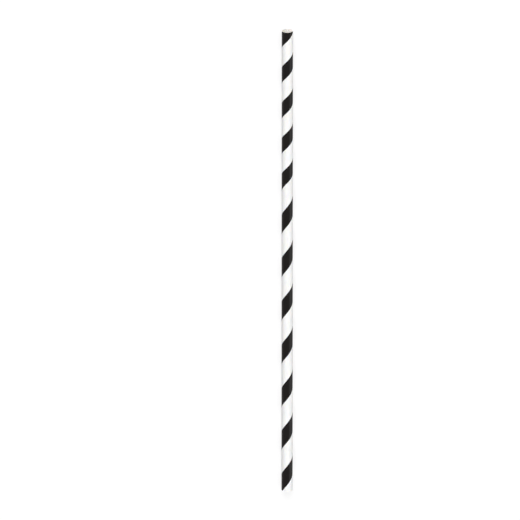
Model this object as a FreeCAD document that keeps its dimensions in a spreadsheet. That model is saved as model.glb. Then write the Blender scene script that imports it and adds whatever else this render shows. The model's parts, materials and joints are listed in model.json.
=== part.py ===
import FreeCAD, Part

import os

# A paper drinking straw: a spiral-wound paper tube, open at both ends, whose outer
# ply carries one printed stripe that winds round it like a right-handed screw.
# It is built upright, from the dip end at height 0 to the mouth end, and then lies
# along Y on the ground plane, with the mouth end towards +Y. The origin is on the
# ground under the middle of the straw. Millimetres and degrees throughout.

NODE_TUBE = "paper_tube"
NODE_STRIPE = "black_stripe"

doc = FreeCAD.newDocument("paper_straw")

# Driving dimensions
sizes = doc.addObject("Spreadsheet::Sheet", "sizes")
DIMENSIONS = [
    ("straw_length", 260.0, "whole length, end to end"),
    ("outer_diameter", 6.0, "outside of the wound tube"),
    ("wall", 0.4, "all the glued plies of paper together"),
    ("outer_ply", 0.13, "depth of the printed outer ply"),
    ("mouth_run", 85.7, "length from the mouth end where the stripe is wound closer"),
    ("mouth_pitch", 19.9, "rise of the stripe in one turn within that length"),
    ("dip_pitch", 24.6, "rise of the stripe in one turn over the rest"),
    ("stripe_share", 0.445, "black part of each turn"),
    ("stripe_angle", 249.0, "angle from +X to the stripe's lower edge where the pitch changes"),
]
for row, (alias, value, note) in enumerate(DIMENSIONS, start=1):
    sizes.set(f"A{row}", note)
    sizes.set(f"B{row}", str(value))
    sizes.setAlias(f"B{row}", alias)
doc.recompute()

# Formulas that several features share
OUTER_RADIUS = "(sizes.outer_diameter / 2)"
BORE_RADIUS = "(sizes.outer_diameter / 2 - sizes.wall)"
PLY_RADIUS = "(sizes.outer_diameter / 2 - sizes.outer_ply)"
DIP_RUN = "(sizes.straw_length - sizes.mouth_run)"


def bind(feature, formulas):
    """Ties properties of a feature to formulas of the driving dimensions."""
    for name, formula in formulas.items():
        feature.setExpression(name, formula)


def cylinder(name, radius, bottom, height):
    """A solid cylinder on the straw's axis, rising from the height bottom."""
    solid = doc.addObject("Part::Cylinder", name)
    bind(solid, {"Radius": radius, "Height": height, "Placement.Base.z": bottom})
    return solid


def helical_band(name, pitch, turns_below, turns_above):
    """The space that the stripe sweeps out, from the ply's inner face to past the wall.

    Its lower edge crosses the pitch change at stripe_angle, turns_below its start.
    """
    # The pitch is settled first, or the height would be filled with turns of another pitch.
    # Segments of a sixteenth of a turn keep the band's faces true to the helix.
    spine = doc.addObject("Part::Helix", f"{name}_spine")
    spine.SegmentLength = 1 / 16
    bind(spine, {"Pitch": pitch})
    doc.recompute()
    height = f"({turns_below} + {turns_above}) * {pitch}"
    bind(spine, {"Radius": OUTER_RADIUS, "Height": height})

    section = doc.addObject("Part::Plane", f"{name}_section")
    section.Placement.Rotation = FreeCAD.Rotation(FreeCAD.Vector(1, 0, 0), 90)
    bind(
        section,
        {
            "Length": "2 * sizes.outer_ply",
            "Width": f"sizes.stripe_share * {pitch}",
            "Placement.Base.x": PLY_RADIUS,
        },
    )

    band = doc.addObject("Part::Sweep", name)
    band.Sections = [section]
    band.Spine = (spine, [])
    band.Solid = True
    band.Frenet = True
    bind(
        band,
        {
            "Placement.Base.z": f"{DIP_RUN} - {turns_below} * {pitch}",
            "Placement.Rotation.Angle": f"sizes.stripe_angle - 360 * {turns_below}",
        },
    )
    return band


def stripe_run(name, pitch, turns_below, turns_above, bottom, height):
    """The band of one even pitch, cut square at the pitch change."""
    run = doc.addObject("Part::Common", name)
    run.Base = helical_band(f"{name}_band", pitch, turns_below, turns_above)
    run.Tool = cylinder(f"{name}_reach", "sizes.outer_diameter", bottom, height)
    return run


def make_field():
    """The printed field of the outer ply: two runs that meet on the same sector.

    Each run overshoots its end of the straw by more than a turn. The half turn keeps
    the joints between the turns away from the pitch change.
    """
    near_dip = stripe_run(
        "field_near_dip",
        pitch="sizes.dip_pitch",
        turns_below=f"(ceil({DIP_RUN} / sizes.dip_pitch) + 1.5)",
        turns_above="1.5",
        bottom="-sizes.dip_pitch",
        height=f"{DIP_RUN} + sizes.dip_pitch",
    )
    near_mouth = stripe_run(
        "field_near_mouth",
        pitch="sizes.mouth_pitch",
        turns_below="1.5",
        turns_above="(ceil(sizes.mouth_run / sizes.mouth_pitch) + 1.5)",
        bottom=DIP_RUN,
        height="sizes.mouth_run + sizes.mouth_pitch",
    )
    field = doc.addObject("Part::MultiFuse", "field")
    field.Shapes = [near_dip, near_mouth]
    return field


def make_wall():
    """The whole wound wall, open from end to end."""
    wall = doc.addObject("Part::Cut", "whole_wall")
    wall.Base = cylinder("whole_wall_outside", OUTER_RADIUS, "0", "sizes.straw_length")
    wall.Tool = cylinder("whole_wall_bore", BORE_RADIUS, "0", "sizes.straw_length")
    return wall


def make_piece(operation, label, wall, field):
    """One of the two pieces that the printed field divides the wall into, laid down."""
    piece = doc.addObject(operation, label)
    piece.Base = wall
    piece.Tool = field
    piece.Label = label
    piece.Placement.Rotation = FreeCAD.Rotation(FreeCAD.Vector(1, 0, 0), -90)
    bind(
        piece,
        {"Placement.Base.y": "-sizes.straw_length / 2", "Placement.Base.z": OUTER_RADIUS},
    )
    return piece


wall = make_wall()
field = make_field()
pieces = [
    make_piece("Part::Cut", NODE_TUBE, wall, field),
    make_piece("Part::Common", NODE_STRIPE, wall, field),
]
doc.recompute()

# Nothing is written unless every feature and every piece is sound
for feature in doc.Objects:
    if "Invalid" in feature.State or "Error" in feature.State:
        raise RuntimeError(f"{feature.Name} failed: {feature.State}")
for piece in pieces:
    shape = piece.Shape
    if shape.isNull() or not shape.isValid() or len(shape.Solids) != 1:
        raise RuntimeError(f"{piece.Label} isn't one valid solid")

os.makedirs("parts", exist_ok=True)
for piece in pieces:
    piece.Shape.exportStep(f"parts/{piece.Label}.step")
    print(f"{piece.Label}: {piece.Shape.Volume:.3f} cubic millimetres")
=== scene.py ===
import json
import math

import bpy
from mathutils import Matrix, Vector, noise


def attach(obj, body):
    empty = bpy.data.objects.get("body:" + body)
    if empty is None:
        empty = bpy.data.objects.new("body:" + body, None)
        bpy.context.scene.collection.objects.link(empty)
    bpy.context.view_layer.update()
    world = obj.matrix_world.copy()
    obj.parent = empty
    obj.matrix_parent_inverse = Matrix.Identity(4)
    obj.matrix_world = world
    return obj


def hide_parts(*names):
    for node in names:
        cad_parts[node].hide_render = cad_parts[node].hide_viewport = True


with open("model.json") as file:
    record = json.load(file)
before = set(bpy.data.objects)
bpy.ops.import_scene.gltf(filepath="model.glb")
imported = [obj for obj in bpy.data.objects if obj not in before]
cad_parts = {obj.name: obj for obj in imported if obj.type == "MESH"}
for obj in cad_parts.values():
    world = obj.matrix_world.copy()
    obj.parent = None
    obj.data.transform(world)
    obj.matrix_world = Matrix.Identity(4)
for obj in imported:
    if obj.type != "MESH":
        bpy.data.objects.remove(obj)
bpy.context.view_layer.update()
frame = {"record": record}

MM = 0.001
TAU = 2 * math.pi

# Sizes of the solids
MOUNTS = {mount["name"]: mount["dims"] for mount in frame["record"]["mounts"]}
LENGTH = MOUNTS["outside"]["length_mm"] * MM
OUTER_RADIUS = MOUNTS["outside"]["r_mm"] * MM
BORE_RADIUS = MOUNTS["bore"]["r_mm"] * MM

# The stripe's winding: its pitch changes at one height above the dip end, and there
# its lower edge is STRIPE_TURN of a turn round from +X
MOUTH_RUN = 85.7 * MM
MOUTH_PITCH = 19.9 * MM
DIP_PITCH = 24.6 * MM
DIP_RUN = LENGTH - MOUTH_RUN
STRIPE_SHARE = 0.445
STRIPE_TURN = 249 / 360

# Fine build of the paper, below what the solids hold
INK = 0.014 * MM
INK_SUNK = 0.004 * MM
EDGE_ROUND = 0.035 * MM
RIM_BAND = 0.12 * MM
PLIES = 3
PLY = (OUTER_RADIUS - BORE_RADIUS) / PLIES
SEAM_DEPTH = 0.06 * MM
SEAM_LIP = 0.008 * MM
WAVE = 0.007 * MM
WAVE_LENGTH = 5.0 * MM
RIM_FRAY = 0.012 * MM
RIM_GRAIN = 0.35 * MM
GLUE_LINE = 0.018 * MM
FEATHER_GRAIN = 0.6 * MM

# Fractions of a turn, counted up from the stripe's lower edge
INK_FEATHER = 0.0010
SEAM_HALF_WIDTH = 0.0035
OUTER_SEAM = -SEAM_HALF_WIDTH
BORE_SEAM = 0.62

# A seam's own section, in its half widths: the groove, the lips and the lines across
GROOVE_WIDTH = 0.6
LIP_AT = 2.5
SEAM_STEPS = (-3.6, -2.5, -1.4, -0.7, 0.0, 0.7, 1.4, 2.5, 3.6)

# Points across the cut of one ply, as shares of its thickness
PLY_SHARES = (0.12, 0.5, 0.88)

# Places in the field of noise, one for each use
OUTER_SEED, BORE_SEED, FEATHER_SEED = 0, 7, 40
RIM_SEED, RIM_SEED_STEP = 20, 5

# Corners round the straw, and lines of them across a turn between the seams
COLUMNS = 96
OUTER_LINES = 22
BORE_LINES = 10
INK_LINES = 10
SHARP_EDGE = math.radians(40)

# Material slots of the tube
OUTER_PAPER, BORE_PAPER, CUT_PAPER = 0, 1, 2

# Shades of the paper and the ink, as linear red, green and blue
WHITE = (1.0, 1.0, 1.0, 1.0)
PAPER_DARK, PAPER_LIGHT = (0.900, 0.895, 0.880), (0.940, 0.938, 0.930)
BORE_DARK, BORE_LIGHT = (0.905, 0.875, 0.825), (0.950, 0.930, 0.895)
CUT_DARK, CUT_LIGHT = (0.800, 0.770, 0.720), (0.920, 0.900, 0.860)
INK_DARK, INK_LIGHT = (0.0032, 0.0022, 0.0019), (0.0064, 0.0048, 0.0042)

# Surface of the paper and the ink: roughness from and to, depth of the relief, gloss
PAPER_ROUGH, PAPER_RELIEF = (0.62, 0.78), 0.010 * MM
BORE_ROUGH, BORE_RELIEF = (0.70, 0.85), 0.012 * MM
CUT_ROUGH, CUT_RELIEF = (0.80, 0.95), 0.020 * MM
INK_ROUGH, INK_RELIEF = (0.30, 0.42), 0.006 * MM
PAPER_GLOSS, INK_GLOSS = 0.3, 0.13
PAPER_GLOW = 0.25
PAPER_GLOW_DEPTH = 0.4 * MM
PAPER_GLOW_SPREAD = (1.0, 0.85, 0.65)

# Noise of the paper and the ink. Shares are those of the second of two noises, and
# spans are the parts of the noise's range over which a shade or a number changes
CLOUDS_PER_METRE = 700.0
TOOTH_PER_METRE = 14000.0
FIBRES_PER_MM = (0.7, 5.0, 1.0)
PAPER_FIBRES_SHARE, PAPER_TOOTH_SHARE = 0.4, 0.5
INK_MOTTLE_SHARE, INK_TOOTH_SHARE = 0.5, 0.4
NOISE_SPAN = (0.3, 0.7)
INK_SPAN = (0.35, 0.72)

# Floor and light. Widths are in degrees. The room is dark up to the first of the two
# sines of elevation and lit from the second up, so that white edges read against white
FLOOR_HALF = 40.0
FLOOR_COLOUR = (0.45, 0.45, 0.45, 1.0)
FLOOR_GLOW = 1.03
FLOOR_GLOW_SHARE = 0.72
ROOM_LIGHT = 0.62
ROOM_DARK_TO, ROOM_LIT_FROM = 0.35, 0.75
FRONT_TOWARDS, FRONT_WIDTH, FRONT_LIGHT = (-0.14, 0.600, 0.787), 100.0, 1.08
SIDE_TOWARDS, SIDE_WIDTH, SIDE_LIGHT = (0.853, -0.358, 0.380), 22.0, 0.60
MOUTH_TOWARDS, MOUTH_WIDTH, MOUTH_LIGHT = (-0.05, 0.900, 0.433), 50.0, 2.3

# The photograph is square, and its camera stands this far up from square on
PHOTO_SIZE = 520
PIXELS_PER_MM = 1.890
STRAW_MIDDLE_X, STRAW_MIDDLE_Y = 287.2, 261.6
CAMERA_TILT = math.radians(21)
CAMERA_LENS, CAMERA_SENSOR = 900.0, 36.0
CAMERA_NEAREST = 0.1

# Sockets of a node that mixes two colours
MIX_SHARE, MIX_FIRST, MIX_SECOND, MIX_RESULT = 0, 6, 7, 2


def turns_at(height):
    """How far the stripe's lower edge has wound at this height, in turns."""
    pitch = DIP_PITCH if height < DIP_RUN else MOUTH_PITCH
    return STRIPE_TURN + (height - DIP_RUN) / pitch


def height_at(turns):
    """The height at which the stripe's lower edge has wound this far."""
    pitch = DIP_PITCH if turns < STRIPE_TURN else MOUTH_PITCH
    return DIP_RUN + (turns - STRIPE_TURN) * pitch


def place(turn, height, radius):
    """A point of the straw: turn is counted from +X, height from the dip end."""
    angle = TAU * turn
    across, down = radius * math.cos(angle), radius * math.sin(angle)
    return Vector((across, height - LENGTH / 2, OUTER_RADIUS - down))


def ripple(turn, height, size, seed):
    """Smooth noise from -1 to 1 on the straw's surface, with lumps of about this size."""
    return noise.noise(place(turn, height, OUTER_RADIUS) / size + Vector((0, 0, seed)))


def seam_relief(turn, height, seam):
    """The groove where a paper strip meets its next turn, with slightly raised lips."""
    fraction = (turns_at(height) - turn - seam + 0.5) % 1 - 0.5
    groove = math.exp(-((fraction / (GROOVE_WIDTH * SEAM_HALF_WIDTH)) ** 2))
    lip = math.exp(-(((abs(fraction) - LIP_AT * SEAM_HALF_WIDTH) / SEAM_HALF_WIDTH) ** 2))
    return SEAM_LIP * lip - SEAM_DEPTH * groove


def paper_radius(turn, height):
    """The outside of the paper, under the ink."""
    highest = OUTER_RADIUS - INK - SEAM_LIP - WAVE
    wave = WAVE * ripple(turn, height, WAVE_LENGTH, OUTER_SEED)
    return highest + wave + seam_relief(turn, height, OUTER_SEAM)


def bore_radius(turn, height):
    """The inside of the paper, whose own strip has its seam elsewhere."""
    wave = WAVE * ripple(turn, height, WAVE_LENGTH, BORE_SEED)
    return BORE_RADIUS + WAVE + SEAM_LIP + wave - seam_relief(turn, height, BORE_SEAM)


def ink_radius(turn, height):
    """The outside of the printed stripe."""
    return paper_radius(turn, height) + INK


def ink_back_radius(turn, height):
    """The inner face of the printed stripe, just under the paper's surface."""
    return paper_radius(turn, height) - INK_SUNK


class Skin:
    """A mesh in the making. Its corners have names, so that faces made apart share them."""

    def __init__(self):
        self.points = []
        self.index = {}
        self.faces = []
        self.coordinates = []
        self.materials = []

    def corner(self, name, point):
        """The index of the corner of this name, which is added if it is new."""
        if name not in self.index:
            self.index[name] = len(self.points)
            self.points.append(point)
        return self.index[name]

    def face(self, corners, material):
        """Adds a face of (index, surface coordinate) pairs, less any that coincide."""
        kept = [c for i, c in enumerate(corners) if c[0] != corners[i - 1][0]]
        if len(kept) > 2:
            self.faces.append([index for index, _ in kept])
            self.coordinates.extend(coordinate for _, coordinate in kept)
            self.materials.append(material)

    def build(self, name, materials):
        """The finished object, linked into the scene."""
        mesh = bpy.data.meshes.new(name)
        mesh.from_pydata(self.points, [], self.faces)
        layer = mesh.uv_layers.new(name="strip")
        layer.uv.foreach_set("vector", [x for pair in self.coordinates for x in pair])
        mesh.polygons.foreach_set("material_index", self.materials)
        for material in materials:
            mesh.materials.append(material)
        mesh.shade_smooth()
        mesh.set_sharp_from_angle(angle=SHARP_EDGE)
        piece = bpy.data.objects.new(name, mesh)
        bpy.context.scene.collection.objects.link(piece)
        return piece


def strip_coordinate(turn, height):
    """Where a point lies on the unrolled strip: along it and across it, in millimetres."""
    along = turn * TAU * OUTER_RADIUS / MM
    return along, (turns_at(height) - turn) * DIP_PITCH / MM


def feathered(turn, fraction):
    """An edge line of the print, slightly ragged from corner to corner."""
    height = height_at(turn + fraction)
    return fraction + INK_FEATHER * ripple(turn, height, FEATHER_GRAIN, FEATHER_SEED)


def wind(skin, name, radius_at, fractions, trim, closed=True, outward=True, material=0):
    """Winds a strip round the straw, trimmed this far short of both ends.

    fractions are its lines across one turn, from its lower edge up. A closed strip
    joins its next turn. An open one ends at its last line, and its edges are ragged.
    """
    lowest, highest = trim, LENGTH - trim
    first = math.floor((turns_at(lowest) - fractions[0] - 1) * COLUMNS) - 1
    last = math.ceil((turns_at(highest) - fractions[0]) * COLUMNS) + 1
    rows = len(fractions) if closed else len(fractions) - 1

    def corner(column, row):
        key = (name, column, row)
        turn = column / COLUMNS
        fraction = fractions[row % len(fractions)]
        if closed and row == rows:
            key = (name, column + COLUMNS, 0)
            fraction += 1
        elif not closed and row in (0, rows):
            fraction = feathered(turn, fraction)
        height = height_at(turn + fraction)
        if height <= lowest:
            height, key = lowest, (name, "dip", column % COLUMNS)
        elif height >= highest:
            height, key = highest, (name, "mouth", column % COLUMNS)
        point = place(turn, height, radius_at(turn, height))
        return skin.corner(key, point), strip_coordinate(turn, height)

    for column in range(first, last):
        for row in range(rows):
            corners = [
                corner(column, row),
                corner(column + 1, row),
                corner(column + 1, row + 1),
                corner(column, row + 1),
            ]
            skin.face(corners if outward else corners[::-1], material)


def close_edges(skin, front, back):
    """Joins the open edges of one strip to the same edges of another that backs it."""
    name_of = {index: name for name, index in skin.index.items()}
    edges = {}
    for face in skin.faces:
        if name_of[face[0]][0] == front:
            edges.update(dict.fromkeys(zip(face, face[1:] + face[:1])))
    for a, b in [edge for edge in edges if edge[::-1] not in edges]:
        behind = [skin.index[(back, *name_of[index][1:])] for index in (b, a)]
        skin.face([(index, (0, 0)) for index in (b, a, behind[1], behind[0])], material=0)


def rim_profile():
    """Points across the cut wall, from outside in: (depth, distance short of the end, ply)."""
    points = []
    for ply in range(PLIES):
        top = ply * PLY
        if ply > 0:
            points.append((top, GLUE_LINE, ply))
        points.extend((top + share * PLY, 0.0, ply) for share in PLY_SHARES)
    return points


def ring_at(skin, name, radius_at, height):
    """A ring of corners at one height."""
    turns = [column / COLUMNS for column in range(COLUMNS)]
    points = [place(turn, height, radius_at(turn, height)) for turn in turns]
    return [skin.corner((name, column), point) for column, point in enumerate(points)]


def close_rim(skin, end, height, towards):
    """Joins the outside to the bore at one end, with the cut edges of the plies showing.

    It starts and ends with a narrow band of the strips' own paper, so that the shading
    of the rounded rim doesn't spread along the strips.
    """
    edge = height - towards * EDGE_ROUND
    rings = [
        [skin.index[("outside", end, column)] for column in range(COLUMNS)],
        ring_at(skin, (end, "outer edge"), paper_radius, edge),
    ]
    for step, (depth, short, ply) in enumerate(rim_profile()):
        seed = RIM_SEED + RIM_SEED_STEP * ply
        ring = []
        for column in range(COLUMNS):
            turn = column / COLUMNS
            fray = RIM_FRAY * (1 + ripple(turn, height, RIM_GRAIN, seed)) / 2
            radius = paper_radius(turn, height) - depth
            point = place(turn, height - towards * (short + fray), radius)
            ring.append(skin.corner((end, step, column), point))
        rings.append(ring)
    rings.append(ring_at(skin, (end, "bore edge"), bore_radius, edge))
    rings.append([skin.index[("bore", end, column)] for column in range(COLUMNS)])
    materials = [OUTER_PAPER, *[CUT_PAPER] * (len(rings) - 3), BORE_PAPER]

    for step, (ring, next_ring, material) in enumerate(zip(rings, rings[1:], materials)):
        for column in range(COLUMNS):
            after = (column + 1) % COLUMNS
            along = column * TAU * OUTER_RADIUS / COLUMNS / MM
            corners = [
                (ring[column], (along, step)),
                (ring[after], (along, step)),
                (next_ring[after], (along, step + 1)),
                (next_ring[column], (along, step + 1)),
            ]
            skin.face(corners if towards > 0 else corners[::-1], material)


def lines_between(low, high, count):
    """Evenly spaced fractions between two lines, without the two themselves."""
    return [low + (high - low) * (i + 1) / (count + 1) for i in range(count)]


def lines_round(seam, count):
    """The lines of a closed strip: dense across its seam, and count more elsewhere."""
    dense = [seam + step * SEAM_HALF_WIDTH for step in SEAM_STEPS]
    return dense + lines_between(dense[-1], dense[0] + 1, count)


def make_tube(outer_paper, bore_paper, cut_paper):
    """The white paper tube: one strip outside, one in the bore, and two cut rims."""
    skin = Skin()
    wind(skin, "outside", paper_radius, lines_round(OUTER_SEAM, OUTER_LINES), RIM_BAND)
    bore_lines = lines_round(BORE_SEAM, BORE_LINES)
    wind(skin, "bore", bore_radius, bore_lines, RIM_BAND, outward=False, material=BORE_PAPER)
    close_rim(skin, "dip", 0.0, -1)
    close_rim(skin, "mouth", LENGTH, 1)
    tube = skin.build("tube_of_paper", [outer_paper, bore_paper, cut_paper])
    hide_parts("paper_tube")
    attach(tube, "root")


def make_print(ink):
    """The black stripe: a closed film of ink that follows the paper under it."""
    skin = Skin()
    lines = [0.0, *lines_between(0.0, STRIPE_SHARE, INK_LINES), STRIPE_SHARE]
    lines[1:1] = [SEAM_HALF_WIDTH, LIP_AT * SEAM_HALF_WIDTH]
    wind(skin, "ink", ink_radius, lines, EDGE_ROUND, closed=False)
    wind(skin, "ink_back", ink_back_radius, lines, EDGE_ROUND, closed=False, outward=False)
    close_edges(skin, "ink", "ink_back")
    film = skin.build("stripe_of_ink", [ink])
    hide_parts("black_stripe")
    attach(film, "root")


def add(tree, kind, inputs=None, **settings):
    """Adds a shader node. An input is a value, or the output of another node."""
    made = tree.nodes.new(kind)
    for name, value in settings.items():
        setattr(made, name, value)
    for name, value in (inputs or {}).items():
        if isinstance(value, bpy.types.NodeSocket):
            tree.links.new(value, made.inputs[name])
        else:
            made.inputs[name].default_value = value
    return made


def new_material(name):
    """An empty node material with its shader, ready to be joined up."""
    material = bpy.data.materials.new(name)
    material.use_nodes = True
    return material, material.node_tree, material.node_tree.nodes["Principled BSDF"]


def paper_grain(tree):
    """Noise of a sheet of paper: its cloudy formation, its fibres and its tooth."""
    place_on = add(tree, "ShaderNodeTexCoord").outputs["Object"]
    strip = add(tree, "ShaderNodeUVMap", uv_map="strip").outputs["UV"]
    clouds = add(
        tree,
        "ShaderNodeTexNoise",
        {"Vector": place_on, "Scale": CLOUDS_PER_METRE, "Detail": 3.0, "Roughness": 0.6},
    )
    along = add(tree, "ShaderNodeMapping", {"Vector": strip, "Scale": FIBRES_PER_MM})
    fibres = add(
        tree,
        "ShaderNodeTexNoise",
        {"Vector": along.outputs["Vector"], "Scale": 1.0, "Detail": 4.0, "Distortion": 0.6},
    )
    tooth = add(
        tree,
        "ShaderNodeTexNoise",
        {"Vector": place_on, "Scale": TOOTH_PER_METRE, "Detail": 3.0, "Roughness": 0.7},
    )
    return clouds.outputs["Fac"], fibres.outputs["Fac"], tooth.outputs["Fac"]


def blend_of(tree, first, second, share):
    """A mix of two values: share of the second, the rest of the first."""
    mixed = add(tree, "ShaderNodeMix", {"Factor": share, "A": first, "B": second})
    return mixed.outputs["Result"]


def shades(tree, factor, span, dark, light):
    """A colour between two shades, as factor goes over this span."""
    ramp = add(tree, "ShaderNodeValToRGB", {"Fac": factor})
    for element, position, colour in zip(ramp.color_ramp.elements, span, (dark, light)):
        element.position = position
        element.color = (*colour, 1.0)
    return ramp.outputs["Color"]


def levels(tree, factor, low, high):
    """A number from low to high, as factor goes over the middle of its range."""
    span = {"From Min": NOISE_SPAN[0], "From Max": NOISE_SPAN[1]}
    scaled = add(
        tree,
        "ShaderNodeMapRange",
        {"Value": factor, **span, "To Min": low, "To Max": high},
    )
    return scaled.outputs["Result"]


def relief(tree, height, depth):
    """A bump from a height of 0 to 1, this deep."""
    bump = add(tree, "ShaderNodeBump", {"Height": height, "Distance": depth, "Strength": 1.0})
    return bump.outputs["Normal"]


def make_paper(name, dark, light, rough, depth):
    """White paper: a faint cloudiness and fibres in its colour, and a fine tooth."""
    material, tree, shader = new_material(name)
    clouds, fibres, tooth = paper_grain(tree)
    mottle = blend_of(tree, clouds, fibres, PAPER_FIBRES_SHARE)
    tree.links.new(shades(tree, mottle, NOISE_SPAN, dark, light), shader.inputs["Base Color"])
    tree.links.new(levels(tree, fibres, *rough), shader.inputs["Roughness"])
    height = blend_of(tree, fibres, tooth, PAPER_TOOTH_SHARE)
    tree.links.new(relief(tree, height, depth), shader.inputs["Normal"])
    shader.inputs["Specular IOR Level"].default_value = PAPER_GLOSS
    shader.inputs["Subsurface Weight"].default_value = PAPER_GLOW
    shader.inputs["Subsurface Radius"].default_value = PAPER_GLOW_SPREAD
    shader.inputs["Subsurface Scale"].default_value = PAPER_GLOW_DEPTH
    return material


def make_ink():
    """Black ink on paper: a slight satin, with the paper's fibres telling through."""
    material, tree, shader = new_material("black_ink")
    clouds, fibres, tooth = paper_grain(tree)
    mottle = blend_of(tree, clouds, tooth, INK_MOTTLE_SHARE)
    shade = shades(tree, mottle, INK_SPAN, INK_DARK, INK_LIGHT)
    tree.links.new(shade, shader.inputs["Base Color"])
    tree.links.new(levels(tree, fibres, *INK_ROUGH), shader.inputs["Roughness"])
    height = blend_of(tree, fibres, tooth, INK_TOOTH_SHARE)
    tree.links.new(relief(tree, height, INK_RELIEF), shader.inputs["Normal"])
    shader.inputs["Specular IOR Level"].default_value = INK_GLOSS
    return material


def seen_directly(tree):
    """1 for what the camera sees straight, in a gloss or through something clear."""
    path = add(tree, "ShaderNodeLightPath").outputs
    seen = path["Is Camera Ray"]
    for kind in ("Is Glossy Ray", "Is Transmission Ray"):
        seen = add(tree, "ShaderNodeMath", operation="MAXIMUM", inputs={0: seen, 1: path[kind]})
        seen = seen.outputs[0]
    return seen


def make_floor():
    """A pale floor that reads as plain white, apart from the straw's own soft shadow."""
    mesh = bpy.data.meshes.new("floor")
    corners = [(x * FLOOR_HALF, y * FLOOR_HALF, 0) for x, y in ((-1, -1), (1, -1), (1, 1), (-1, 1))]
    mesh.from_pydata(corners, [], [(0, 1, 2, 3)])
    floor = bpy.data.objects.new("floor", mesh)
    bpy.context.scene.collection.objects.link(floor)

    material = bpy.data.materials.new("floor_white")
    material.use_nodes = True
    tree = material.node_tree
    tree.nodes.clear()
    seen = seen_directly(tree)
    colour = add(
        tree,
        "ShaderNodeMix",
        {MIX_SHARE: seen, MIX_FIRST: FLOOR_COLOUR, MIX_SECOND: WHITE},
        data_type="RGBA",
    )
    matte = add(tree, "ShaderNodeBsdfDiffuse", {"Color": colour.outputs[MIX_RESULT]})
    glow = add(tree, "ShaderNodeEmission", {"Color": WHITE, "Strength": FLOOR_GLOW})
    share = add(tree, "ShaderNodeMath", {0: seen, 1: FLOOR_GLOW_SHARE}, operation="MULTIPLY")
    both = add(
        tree,
        "ShaderNodeMixShader",
        {0: share.outputs[0], 1: matte.outputs[0], 2: glow.outputs[0]},
    )
    add(tree, "ShaderNodeOutputMaterial", {"Surface": both.outputs[0]})
    mesh.materials.append(material)


def light_world():
    """Soft light from above all round, seen as plain white behind the straw."""
    world = bpy.data.worlds.new("white_room")
    world.use_nodes = True
    bpy.context.scene.world = world
    tree = world.node_tree
    tree.nodes.clear()
    towards = add(tree, "ShaderNodeTexCoord").outputs["Generated"]
    upward = add(tree, "ShaderNodeSeparateXYZ", {"Vector": towards}).outputs["Z"]
    above = {"From Min": ROOM_DARK_TO, "From Max": ROOM_LIT_FROM, "To Max": ROOM_LIGHT}
    lit = add(tree, "ShaderNodeMapRange", {"Value": upward, **above}).outputs["Result"]
    strength = blend_of(tree, lit, 1.0, seen_directly(tree))
    room = add(tree, "ShaderNodeBackground", {"Color": WHITE, "Strength": strength})
    add(tree, "ShaderNodeOutputWorld", {"Surface": room.outputs[0]})


def add_sun(name, towards, width, strength):
    """A far lamp in this direction from the straw, this many degrees wide."""
    lamp = bpy.data.lights.new(name, "SUN")
    lamp.angle = math.radians(width)
    lamp.energy = strength
    sun = bpy.data.objects.new(name, lamp)
    sun.rotation_euler = Vector(towards).to_track_quat("Z", "Y").to_euler()
    bpy.context.scene.collection.objects.link(sun)


def add_camera():
    """The camera looks down on the straw, turned up a little so that its mouth shows."""
    back = Vector((0.0, math.sin(CAMERA_TILT), math.cos(CAMERA_TILT)))
    up = Vector((0.0, math.cos(CAMERA_TILT), -math.sin(CAMERA_TILT)))
    right = up.cross(back)
    middle = Vector((0.0, 0.0, OUTER_RADIUS))
    across = (STRAW_MIDDLE_X - PHOTO_SIZE / 2) / PIXELS_PER_MM * MM
    below = (STRAW_MIDDLE_Y - PHOTO_SIZE / 2) / PIXELS_PER_MM * MM
    aim = middle - across * right + below * up

    lens = bpy.data.cameras.new("camera")
    lens.sensor_width = CAMERA_SENSOR
    lens.lens = CAMERA_LENS
    distance = PHOTO_SIZE / PIXELS_PER_MM * MM * CAMERA_LENS / CAMERA_SENSOR
    lens.clip_start = CAMERA_NEAREST
    lens.clip_end = 2 * distance
    camera = bpy.data.objects.new("camera", lens)
    camera.matrix_world = Matrix.Translation(aim + distance * back) @ Matrix(
        (right, up, back)
    ).transposed().to_4x4()
    bpy.context.scene.collection.objects.link(camera)
    bpy.context.scene.camera = camera


make_tube(
    make_paper("white_paper", PAPER_DARK, PAPER_LIGHT, PAPER_ROUGH, PAPER_RELIEF),
    make_paper("bore_paper", BORE_DARK, BORE_LIGHT, BORE_ROUGH, BORE_RELIEF),
    make_paper("cut_paper", CUT_DARK, CUT_LIGHT, CUT_ROUGH, CUT_RELIEF),
)
make_print(make_ink())
make_floor()
light_world()
add_sun("front_light", FRONT_TOWARDS, FRONT_WIDTH, FRONT_LIGHT)
add_sun("side_light", SIDE_TOWARDS, SIDE_WIDTH, SIDE_LIGHT)
add_sun("mouth_light", MOUTH_TOWARDS, MOUTH_WIDTH, MOUTH_LIGHT)
add_camera()
bpy.context.scene.view_settings.view_transform = "Standard"
